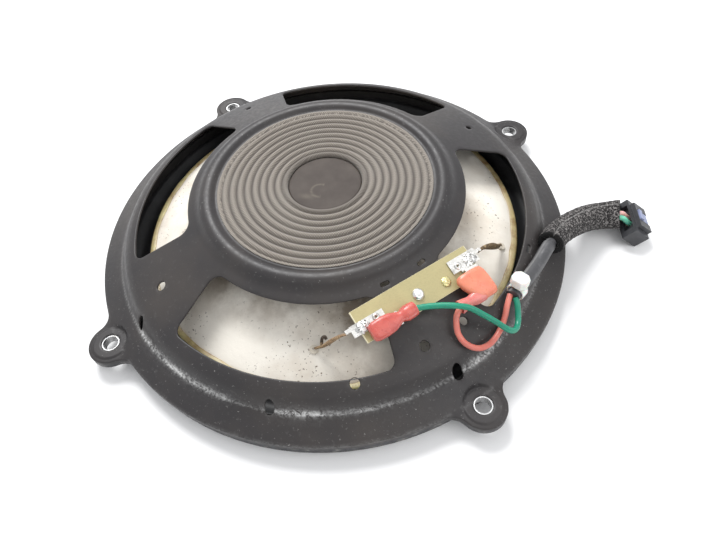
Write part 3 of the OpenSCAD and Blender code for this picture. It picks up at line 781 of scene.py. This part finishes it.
def edge_rows(kind, top, normal, out):
    """Rows of points that round a sheet's edge off, from its top surface to its lower one."""
    if kind == "outer":
        out[:, 2] = 0
        out /= np.linalg.norm(out, axis=1)[:, None]
        up, level = np.array([0, 0, 1.0]), np.full(len(top), FLANGE_Z)
        return [top - up * 0.08 + out * 0.25, top - up * 0.3 + out * 0.5, top - up * 0.7 + out * RIM,
                np.column_stack([(top + out * RIM)[:, :2], level]),
                np.column_stack([(top - out * RIM)[:, :2], level])]
    middle, r = top - normal * SHEET_T / 2, SHEET_T / 2
    bulge = NICK_RIM if kind == "nick" else r
    return [middle + r * cos(b) * normal + bulge * sin(b) * out for b in (0.65, 1.2, 1.94, 2.5)]


# Scuffs along the crease at the foot of the shoulder: (middle angle, half width, strength).
SCUFFS = [(-116, 9, 1.0), (-104, 5, 0.5), (-83.5, 5.5, 1.3), (-72, 8, 0.35), (-39, 7, 1.1), (-128, 5, 0.8),
          (-60, 9, 0.25), (-20, 12, 0.2), (150, 60, 0.18)]


def bell(value, middle, width):
    return np.exp(-((value - middle) / width) ** 2)


def basket_wear_and_edge_highlight(piece, verts):
    r = np.hypot(verts[:, 0], verts[:, 1])
    a = np.degrees(np.arctan2(verts[:, 1], verts[:, 0]))
    wear_and_edge_highlight = np.zeros(len(verts))
    for middle, half, strength in SCUFFS:
        wear_and_edge_highlight += strength * bell(a, middle, half) * (bell(r, 112.7, 0.5) + 0.3 * bell(r, 112.9, 1.5))
    # A painted highlight: the top of the flange's rounded outer edge is painted lighter.
    wear_and_edge_highlight += 0.13 * bell(r, 124.9, 0.5) * (verts[:, 2] > 10)
    wear_and_edge_highlight += 0.36 * bell(r, 112.8, 0.35)
    attribute(piece, "wear_and_edge_highlight", np.clip(wear_and_edge_highlight, 0, 1.2))
    attribute(piece, "dust", bell(r, 60.5, 4) * 0.5 + (r > 102) * 0.35)


def make_basket():
    """The pressed sheet: a top and a lower surface over one plan, joined round every edge."""
    loops = basket_loops()
    flat, tris, ends = basket_plan(loops)
    x, y = flat[:, 0], flat[:, 1]
    normal = basket_normals(x, y)
    top = np.stack([x, y, basket_height(x, y)], 1)
    verts = [*top, *(top - normal * SHEET_T)]
    total = len(top)
    faces = [tuple(t) for t in tris] + [tuple(t[::-1] + total) for t in tris]
    for ids, (_, kind) in zip(ends, loops):
        ids = [i for n, i in enumerate(ids) if i != ids[n - 1]]
        length = len(ids)
        ring = flat[ids]
        along = np.roll(ring, -1, 0) - np.roll(ring, 1, 0)
        out = np.stack([along[:, 1], -along[:, 0], np.zeros(length)], 1)
        out /= np.linalg.norm(out, axis=1)[:, None]
        area = 0.5 * np.sum(ring[:, 0] * np.roll(ring[:, 1], -1) - np.roll(ring[:, 0], -1) * ring[:, 1])
        out *= np.sign(area) * (1 if kind == "outer" else -1)
        out -= normal[ids] * np.sum(out * normal[ids], 1)[:, None]
        chain = [ids]
        for row in edge_rows(kind, top[ids], normal[ids], out):
            chain.append([len(verts) + i for i in range(length)])
            verts += list(row)
        chain.append([i + total for i in ids])
        flip = (area > 0) == (kind == "outer")
        for start, stop in zip(chain, chain[1:]):
            for i in range(length):
                j = (i + 1) % length
                quad = (start[i], stop[i], stop[j], start[j])
                faces.append(quad if flip else quad[::-1])
    verts = np.array(verts)
    piece = add_mesh("basket_shell", verts * MM, faces, basket_paint(), sharp_deg=70)
    mend(piece, lambda mesh: bmesh.ops.recalc_face_normals(mesh, faces=mesh.faces))
    basket_wear_and_edge_highlight(piece, verts)
    settle(piece, "speaker", "basket_paint", "basket")


def in_loop(points, loop):
    """Which of many 2D points lie inside a closed loop."""
    odd = np.zeros(len(points), bool)
    x, y = points[:, 0], points[:, 1]
    for (x0, y0), (x1, y1) in zip(loop, [*loop[1:], loop[0]]):
        if y0 == y1:
            continue
        crosses = ((y0 > y) != (y1 > y)) & (x < (x1 - x0) * (y - y0) / (y1 - y0) + x0)
        odd ^= crosses
    return odd


# ---- diaphragm and suspension

CONE_R, CONE_EDGE_Z, FORMER_R = 99.6, 12.5, 18.6
CLOTH_T = 0.5


def cone_z(r):
    t = (CONE_R - r) / (CONE_R - FORMER_R)
    return CONE_EDGE_Z + 27.9 * t + 1.2 * sin(pi * t)


def make_cone():
    back = [(r, cone_z(r)) for r in np.linspace(CONE_R, FORMER_R + 0.4, 44)]

    def pucker(a, r):
        share = (CONE_R - r) / (CONE_R - FORMER_R)
        place = (cos(a) * 2.2, sin(a) * 2.2, r * 0.05)
        return 0.22 * sin(pi * share) * noise.noise(place)

    piece = lathe("cone_shell", sheet_profile(back, 0.9), cone_paper(), 360, pucker)
    r = np.array([hypot(v.co.x, v.co.y) / MM for v in piece.data.vertices])
    a = np.array([degrees(atan2(v.co.y, v.co.x)) for v in piece.data.vertices])
    # Darker towards the neck, partly dirt and partly painted shade under the plate; the patches beside the
    # two spokes are partly painted shadow of the spokes.
    near_neck = np.clip((84 - r) / 30, 0.0, 1) ** 0.8
    attribute(piece, "soil_and_shade", near_neck + 0.6 * bell(a, -66, 9) + 0.3 * bell(a, -125, 8))
    attribute(piece, "rim", bell(r, 99, 1.6))
    settle(piece, "diaphragm", "cone_paper", "cone")


def make_edge_glue():
    """The bead on the cone's edge, which swells and thins as it goes round."""
    count, points = 420, []
    section = [(-2.6, 0.03), (-2.3, 0.3), (-1.2, 0.55), (-0.4, 0.95), (0.3, 0.75), (0.62, 0.1),
               (0.6, -0.7), (0.36, -0.8), (0.1, 0.0)]
    for i in range(count):
        a = TURN * i / count
        swell = 1 + 0.35 * noise.noise((cos(a) * 9, sin(a) * 9, 0.3))
        for dr, dz in section:
            r = CONE_R + (dr * swell if dr < 0 else dr)
            z = cone_z(min(r, CONE_R)) + (dz * swell if dz > 0 else dz)
            points.append((r * cos(a) * MM, r * sin(a) * MM, z * MM))
    faces = skin_faces(count, len(section), closed=True)
    settle(add_mesh("glue_bead", points, faces, dried_glue()), "diaphragm", "cone_glue", "edge_glue")


def blend_by_radius(piece, node, inner_r, outer_r):
    """Hides the node and bakes the piece's transform. A share from inner_r to outer_r (metres) is worked out
    for each point, but nothing uses it.
    """
    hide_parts(node)
    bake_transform(piece)
    for v in piece.data.vertices:
        t = (outer_r - hypot(v.co.x, v.co.y)) / (outer_r - inner_r)
        t = min(1.0, max(0.0, t))


def make_spider():
    """The corrugated cloth, with painted shade in the hollows between its ridges and down the neck."""
    top_z, rim_in, neck_r, waves = SEAT_Z + CLOTH_T, 52.8, 21.9, 8
    top = [(54.6, top_z), (53.6, top_z)]
    steps = waves * 16
    painted_valley_shade = []
    for i in range(steps + 1):
        u = i / steps * waves
        crest = sqrt(sin(pi * u) ** 2 * 0.93 + 0.07)
        top.append((rim_in + (neck_r - rim_in) * i / steps, top_z + 0.15 - 1.95 * (1 - crest)))
    neck = [(21.6, -0.75), (21.2, -0.2), (20.7, 0.2), (20.1, 0.2), (19.6, -0.05), (19.2, -0.5),
            (18.95, -1.1), (18.85, -1.7)]
    top += [(r, top_z + dz) for r, dz in neck]
    piece = lathe("spider_skin", sheet_profile(top, CLOTH_T), spider_cloth(), 360)
    for v in piece.data.vertices:
        r = hypot(v.co.x, v.co.y) / MM
        u = (rim_in - r) / (rim_in - neck_r) * waves
        # Painted shade: strongest in each hollow between ridges, and a flat share down the neck.
        dip = 1 - abs(sin(pi * u)) if 0 <= u <= waves else 0
        painted_valley_shade.append(0.9 * max(0, dip - 0.2) / 0.8 if r > neck_r else 0.45)
    attribute(piece, "painted_valley_shade", painted_valley_shade)
    blend_by_radius(piece, "spider", 0.0195, 0.0535)


def make_surround():
    edge = cone_z(CONE_R)
    top = [(119.2, 10.0), (111.6, 10.0)]
    for i in range(25):
        u = i / 24
        top.append((111 - 10 * u, 10 + 0.9 * u - 3 * sin(pi * u)))
    top += [(99.8, edge - 1.15), (96.8, cone_z(96.8) - 1.15)]
    look = rubber("surround_rubber", (0.016, 0.016, 0.017))
    piece = lathe("surround_skin", sheet_profile(top, 0.85), look)
    blend_by_radius(piece, "surround", 0.1004, 0.1110)


def make_neck_cap():
    """The flat disc in the neck, with a faint worn mark."""
    z = 43.9 + 0.6
    top = [(0, z)] + [(r, z) for r in np.linspace(1.5, FORMER_R - 1.2, 16)]
    profile = [*top, (FORMER_R - 0.5, z - 0.05), (FORMER_R - 0.1, z - 0.2), (FORMER_R, z - 0.5),
               (0, z - 0.55)]
    piece = lathe("neck_disc", profile, cap_paper(), 160)
    marks = []
    for v in piece.data.vertices:
        x, y = v.co.x / MM, v.co.y / MM
        crescent = exp(-((hypot(x + 1.5, y + 5.5) - 4.2) / 0.5) ** 2) * (x < 0)
        smear = exp(-((x + 7) / 3.5) ** 2 - ((y + 10.5) / 1.6) ** 2)
        marks.append(0.55 * crescent + 0.5 * smear)
    attribute(piece, "mark", marks)
    settle(piece, "diaphragm", "cap_paper", "neck_cap")


# ---- terminal board

def make_board():
    # Its four rivet holes are under the rivets, so the visible plate is drawn without them.
    corners = [(-8.6, -31.2), (7.0, -31.2), (7.0, 31.8), (-8.6, 31.8)]
    face, edge = phenolic("board_face", (0.43, 0.375, 0.185)), phenolic("board_edge", (0.86, 0.8, 0.56))
    points = [spoke(x, y, GAP) for x, y in corners]
    points += [spoke(x, y, GAP + BOARD_T) for x, y in corners[3:] + corners[:3]]
    faces = [(3, 1, 0), (1, 3, 2), (4, 5, 6), (6, 7, 4), (2, 3, 4, 7), (0, 1, 6, 5), (1, 2, 7, 6),
             (3, 0, 5, 4)]
    piece = add_mesh("board_plate", points, faces, face, sharp_deg=30)
    piece.data.materials.append(edge)
    up = SPOKE.to_3x3() @ Vector((0, 0, 1))
    for polygon in piece.data.polygons:
        polygon.material_index = 0 if abs(polygon.normal.dot(up)) > 0.5 else 1
    bevelled(piece, 0.3).modifiers["edges"].material = 1
    settle(piece, "speaker", "board_phenolic", "terminal_board")


def lumpy(name, centre, radii, material, seed, lump=0.25):
    """A half-melted blob on the board, in the spoke's frame."""
    rings, sides = 18, 28
    points = []
    for i in range(rings):
        tilt = pi / 2 * i / (rings - 1)
        for k in range(sides):
            a = TURN * k / sides
            d = Vector((sin(tilt) * cos(a), sin(tilt) * sin(a), cos(tilt)))
            broad = noise.noise(d * 2.3 + Vector((seed, 0, 0)))
            fine = noise.noise(d * 6 + Vector((0, seed, 0)))
            swell = 1 + lump * broad + lump * 0.5 * fine
            points.append(spoke(centre[0] + d.x * radii[0] * swell, centre[1] + d.y * radii[1] * swell,
                                centre[2] + d.z * radii[2] * swell))
    faces = skin_faces(rings, sides)
    faces.append([(rings - 1) * sides + k for k in range(sides)][::-1])
    return add_mesh(name, points, faces, material)


def spoke_lathe(name, at, profile, material):
    """A turned part standing on the board at a point of the spoke's frame."""
    piece = lathe(name, profile, material, 48)
    piece.data.transform(SPOKE @ Matrix.Translation(Vector((*at, 0)) * MM))
    return piece


def make_board_metal():
    """The rivets, the lugs and the solder on the board."""
    bright = metal("rivet_metal", (0.86, 0.86, 0.85), 0.22, 0.8, (0.5, 0.5, 0.48))
    tin = metal("lug_tin", (0.7, 0.69, 0.66), 0.3, 1.5, (0.26, 0.245, 0.22), 0.12)
    head = LUG_Z - GAP
    rivet = [(0, head + 1.25), (0.9, head + 1.3), (1.5, head + 1.5), (2.0, head + 1.35), (2.5, head + 0.9),
             (2.85, head + 0.35), (2.9, head), (1.5, head), (1.5, -1.4), (2.6, -1.4), (2.6, -2.6),
             (0, -2.6)]
    settle(spoke_lathe("board_rivet_head", (0, 0), rivet, bright), "speaker", "rivet_metal", "board_rivet")
    brass = metal("eyelet_brass", (0.72, 0.66, 0.34), 0.35, 0.7, (0.62, 0.6, 0.42), 0.2)
    blob = lumpy("spare_rivet_blob", (1.6, 14.4, LUG_Z), (2.3, 2.3, 0.9), brass, 3.1)
    settle(blob, "speaker", "eyelet_brass")
    ring_low, ring_top = LUG_Z + 0.85, LUG_Z + 1.25
    for i, at in enumerate(((-0.9, -22.1), (-1.8, 23.1))):
        ring = [(0.6, ring_top), (1.2, ring_top + 0.08), (1.7, ring_top - 0.15), (1.75, ring_low),
                (1.15, ring_low), (1.15, -0.2), (1.9, -0.2), (1.9, -0.8), (0.6, -0.8)]
        piece = settle(spoke_lathe(f"lug_rivet_{i}", at, ring, tin), "speaker", "eyelet_brass")
        if i == 0:
            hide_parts("lug_rivets")
    for node in ("lug_left", "lug_right"):
        dress(node, tin, 0.12)
    melted = solder_metal()
    for i, (x, y) in enumerate(((-0.2, -29.6), (-1.9, 29.6))):
        joint = lumpy(f"solder_blob_{i}", (x, y, LUG_Z + 0.8), (2.6, 3.0, 1.5), melted, 1.7 + 5 * i, 0.45)
        settle(joint, "speaker", "solder_metal")
        if i == 0:
            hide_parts("solder_joints")


def dress(node, material, bevel_mm=0.0):
    """A CAD node that stays: it gets a procedural material, and small round edges if it needs them."""
    piece = NODES[node]
    piece.data.materials.clear()
    piece.data.materials.append(material)
    if bevel_mm:
        bevelled(piece, bevel_mm)


def oval(centre, axis, half_w, half_h, power):
    """A rounded rectangle of points about a centre in the spoke's frame, across an axis and up."""
    side, count = Vector(axis), 40
    loop = []
    for k in range(count):
        a = TURN * k / count
        c, s = cos(a), sin(a)
        u = copysign(abs(c) ** (2 / power), c) * half_w
        v = copysign(abs(s) ** (2 / power), s) * half_h
        loop.append(spoke(*(Vector(centre) + side * u + Vector((0, 0, 1)) * v)))
    return loop


ALONG_X, ALONG_Y = (1, 0, 0), (0, 1, 0)


def make_insulators():
    """Vinyl covers of the two push-on terminals: a straight sleeve and a flag-shaped cover."""
    mid = BLADE_Z + 0.4
    clear = {"Transmission_Weight": 0.06}
    red = vinyl("sleeve_red", (0.6, 0.125, 0.1), (0.43, 0.06, 0.05), 0.25, 4, **clear)
    salmon = vinyl("cover_salmon", (0.8, 0.27, 0.165), (0.66, 0.17, 0.11), 0.28, 5, **clear)
    # Sections of the sleeve, from the blade to the wire: (y, half width, half height, squareness).
    # The last two turn back into its open bell.
    sleeve = [(-28.7, 2.9, 1.7, 2.6), (-28.2, 3.8, 2.3, 3.0), (-26.4, 4.4, 2.5, 3.2), (-22, 4.6, 2.6, 3.2),
              (-18, 4.2, 2.5, 2.8), (-15.4, 3.2, 2.45, 2.3), (-13.9, 2.55, 2.4, 2.1), (-12.9, 2.6, 2.5, 2.0),
              (-12.0, 3.15, 3.0, 2.0), (-10.8, 3.5, 3.3, 2.0), (-9, 3.55, 3.35, 2.0), (-7.0, 3.4, 3.2, 2.0),
              (-6.2, 3.3, 3.1, 2.0), (-5.9, 3.1, 2.95, 2.0), (-6.0, 2.1, 2.1, 2.0), (-8.5, 1.6, 1.6, 2.0)]
    loops = [oval((4.75, y, mid), ALONG_X, w, h, p) for y, w, h, p in sleeve]
    settle(loft("red_sleeve", loops, red, 50), "speaker", "sleeve_red", "insulator_left", "receptacle_left")
    # Sections of the flag's cover across the blade: (x, middle y, half width, half height, squareness).
    cover = [(3.0, 24.3, 4.6, 1.6, 2.8), (3.5, 24.0, 6.2, 2.2, 3.0), (5.5, 24.0, 7.2, 2.5, 3.2),
             (9, 24.6, 7.0, 2.6, 3.2), (12, 25.4, 6.4, 2.6, 3.0), (15.2, 26.1, 5.7, 2.45, 3.0),
             (17.0, 26.4, 4.9, 1.9, 2.8), (17.6, 26.5, 3.6, 1.2, 2.6)]
    loops = [oval((x, y, mid), ALONG_Y, w, h, p) for x, y, w, h, p in cover]
    body = loft("flag_cover", loops, salmon, 50)
    settle(body, "speaker", "cover_salmon", "insulator_right", "receptacle_right")
    pink = vinyl("neck_pink", (0.72, 0.23, 0.2), (0.56, 0.13, 0.12), 0.25, 3, **clear)
    # Sections of its crumpled neck, from the cover out to the wire and back into its open end.
    neck = [(24.5, 3.3, 2.2, 2.6), (21.5, 3.3, 2.3, 2.4), (19.4, 3.1, 2.3, 2.1), (17.8, 2.5, 2.3, 2.0),
            (16.6, 2.45, 2.4, 2.0), (15, 2.8, 2.6, 1.8), (13.2, 3.1, 2.8, 1.7), (12.0, 3.3, 2.9, 1.6),
            (11.6, 3.2, 2.8, 1.7), (12.0, 2.2, 2.1, 2.0), (14.5, 1.6, 1.6, 2.0)]
    loops = [oval((14.8, y, mid), ALONG_X, w, h, p) for y, w, h, p in neck]
    settle(loft("flag_neck", loops, pink, 50), "speaker", "cover_salmon")


# ---- small leads, tie and connector

TINSEL_LEFT = mm([(29.4, -82, 40.2), (26.6, -82.4, 38.6), (22.4, -82.4, 33.4), (17.6, -82, 26.4),
                  (12.8, -81.2, 21.2)])
TINSEL_RIGHT = mm([(80, -29.6, 41), (82.2, -25.6, 39.6), (86.2, -18, 32), (89.4, -10.6, 23.4),
                   (91.4, -4.8, 18)])
CURL_ROUTE = mm([(16.4, -81.4, 24.0), (16.0, -79.6, 25.2), (16.2, -78.2, 26.6), (17.2, -77.6, 26.8),
                 (17.9, -78.2, 25.9)])


def make_tinsel():
    """The two braided leads, each from its lug down to the cone, and a small curl of lead that rides on the
    diaphragm.
    """
    for name, route, color, fat in (("tinsel_lead_left", TINSEL_LEFT, (0.6, 0.4, 0.23), 0.45),
                                    ("tinsel_lead_right", TINSEL_RIGHT, (0.24, 0.16, 0.08), 1.15)):
        look = braid(name + "_braid", color)

        def swollen(share, a, fat=fat):
            return (0.55 + fat * exp(-((share - 0.55) / 0.28) ** 2)) * MM

        piece = tube(name + "_braid", curve_through(route, 12), swollen, look, 16)
        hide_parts(name)
        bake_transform(piece)
    look = braid("curl_braid", (0.16, 0.12, 0.09))
    piece = tube("lead_curl", curve_through(CURL_ROUTE, 8), lambda share, a: 0.75 * MM, look, 12)
    settle(piece, "diaphragm", "tinsel_braid")


def make_tie():
    """The white nylon tie: a band round the bundle and its head."""
    nylon = vinyl("tie_nylon", (0.82, 0.81, 0.77), (0.62, 0.61, 0.56), 0.3, 3)
    along = (TAPE_ROUTE[2] - TAPE_ROUTE[1]).normalized()
    centre = (TAPE_ROUTE[1] + TAPE_ROUTE[2]) / 2 - along * 4 * MM
    side = along.cross(Vector((0, 0, 1))).normalized()
    up = side.cross(along)
    points, segments = [], 64
    section = [(3.6, -2.2), (4.15, -2.2), (4.35, -1.7), (4.15, -1.2), (4.35, -0.6), (4.35, 0.6),
               (4.15, 1.2), (4.35, 1.7), (4.15, 2.2), (3.6, 2.2)]
    for i in range(segments):
        a = TURN * i / segments
        out = side * cos(a) + up * sin(a)
        points += [centre + (out * r + along * w) * MM for r, w in section]
    faces = skin_faces(segments, len(section), closed=True, inward=True)
    settle(add_mesh("tie_band", points, faces, nylon, sharp_deg=40), "speaker", "tie_nylon", "tie_strap")
    # The head stands on the band: an eight-sided block with its upper edges rounded.
    rows = []
    for height, inset in ((4.25, 0.4), (4.7, 0.0), (8.5, 0.0), (9.1, 0.35), (9.3, 0.9)):
        w, depth, cut = 4.0 - inset, 3.6 - inset, 1.9
        corners = [(w - cut, -depth), (w, cut - depth), (w, depth - cut), (w - cut, depth),
                   (cut - w, depth), (-w, depth - cut), (-w, cut - depth), (cut - w, -depth)]
        rows.append([centre + (up * height + side * u + along * v) * MM for u, v in corners])
    head = loft("tie_block", rows, nylon, 35)
    bevelled(head, 0.25)
    settle(head, "speaker", "tie_nylon", "tie_head")


def make_cad_nodes():
    """Parts whose CAD shape is right get their finish and slightly rounded edges."""
    black = metal("bridge_paint", (0.03, 0.03, 0.033), 0.45)
    black.node_tree.nodes["Principled BSDF"].inputs["Metallic"].default_value = 0.0
    steel = metal("bright_steel", (0.66, 0.66, 0.66), 0.3)
    motor = metal("motor_steel", (0.45, 0.46, 0.47), 0.35)
    dress("front_bridge", black, 0.4)
    dress("front_gasket", rubber("gasket_rubber", (0.02, 0.02, 0.02), 0.8))
    dress("rim_spacer", rubber("spacer_card", (0.014, 0.013, 0.013), 0.8))
    dress("ear_bushings", steel, 0.25)
    dress("coil_former", plain("former_paper", (0.5, 0.4, 0.26), 0.8))
    dress("voice_coil", metal("coil_copper", (0.6, 0.25, 0.1), 0.3))
    dress("yoke_cup", motor, 0.5)
    dress("magnet", metal("magnet_metal", (0.3, 0.3, 0.32), 0.4), 0.4)
    dress("pole_plate", motor, 0.4)
    dress("motor_screw", steel, 0.3)
    dress("lead_eyelets", plain("eyelet_dull", (0.66, 0.6, 0.5), 0.7), 0.1)
    dress("connector_housing", moulded("connector_black", (0.035, 0.036, 0.040)), 0.3)
    dress("connector_latch", moulded("latch_plastic", (0.2, 0.23, 0.36), 0.35), 0.2)
    dress("connector_lock", moulded("lock_plastic", (0.42, 0.41, 0.38), 0.4), 0.25)
    dress("connector_contacts", metal("contact_brass", (0.7, 0.6, 0.35), 0.3), 0.1)


# ---- the whole scene

make_camera()
make_stage()
bundle, wrap, core_path = make_pigtail()
connector_wires = make_connector_wires()
make_wires()
make_basket()
make_cone()
make_edge_glue()
make_spider()
make_surround()
make_neck_cap()
make_board()
make_board_metal()
make_insulators()
make_tinsel()
make_tie()
make_cad_nodes()
